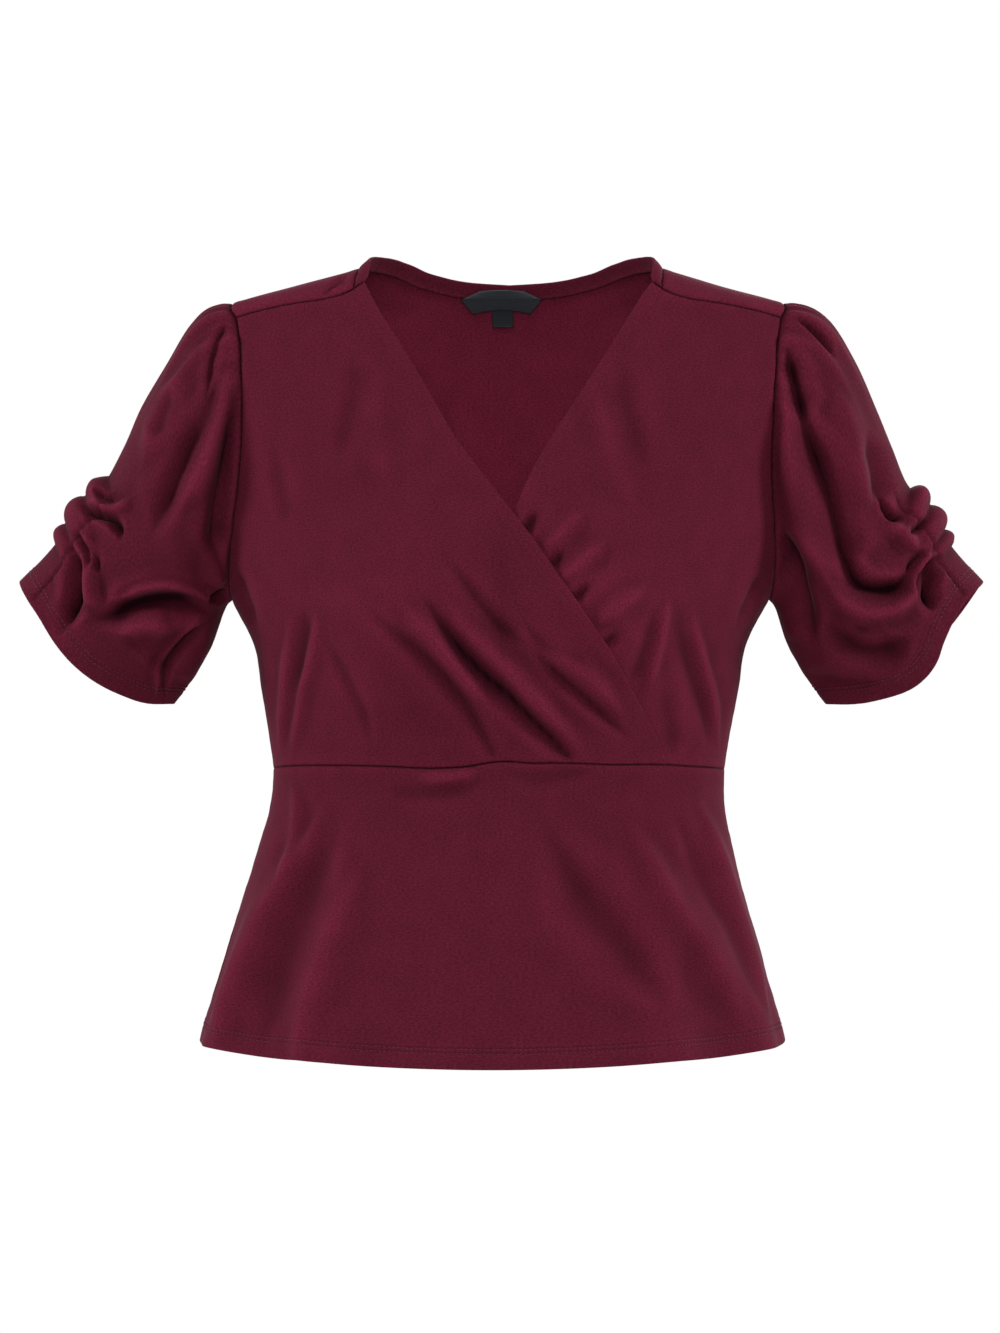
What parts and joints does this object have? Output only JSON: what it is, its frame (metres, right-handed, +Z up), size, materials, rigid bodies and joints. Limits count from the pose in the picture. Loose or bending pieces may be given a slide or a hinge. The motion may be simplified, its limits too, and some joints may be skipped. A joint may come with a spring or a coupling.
{
  "type": "wrap top",
  "caption": "Short-sleeved jersey top in its worn form, with a crossed wrap front, puffed sleeves and a flared peplum below the waist seam.",
  "frame": {"origin": "midway between the two shoulder ridges, where the worn top rests on the shoulders", "axes": "+X to the wearer's left, -Y out of the front, +Z up"},
  "size_m": [0.6866, 0.2512, 0.5652],
  "materials": {
    "jersey": "matte burgundy knitted jersey",
    "label": "black woven ribbon"
  },
  "bodies": {
    "root": {"front_over": "jersey", "front_under": "jersey", "back": "jersey", "neck_band": "jersey", "sleeve_right": "jersey", "sleeve_left": "jersey", "peplum_front": "jersey", "peplum_back": "jersey", "label_main": "label", "label_size": "label"}
  },
  "joints": []
}
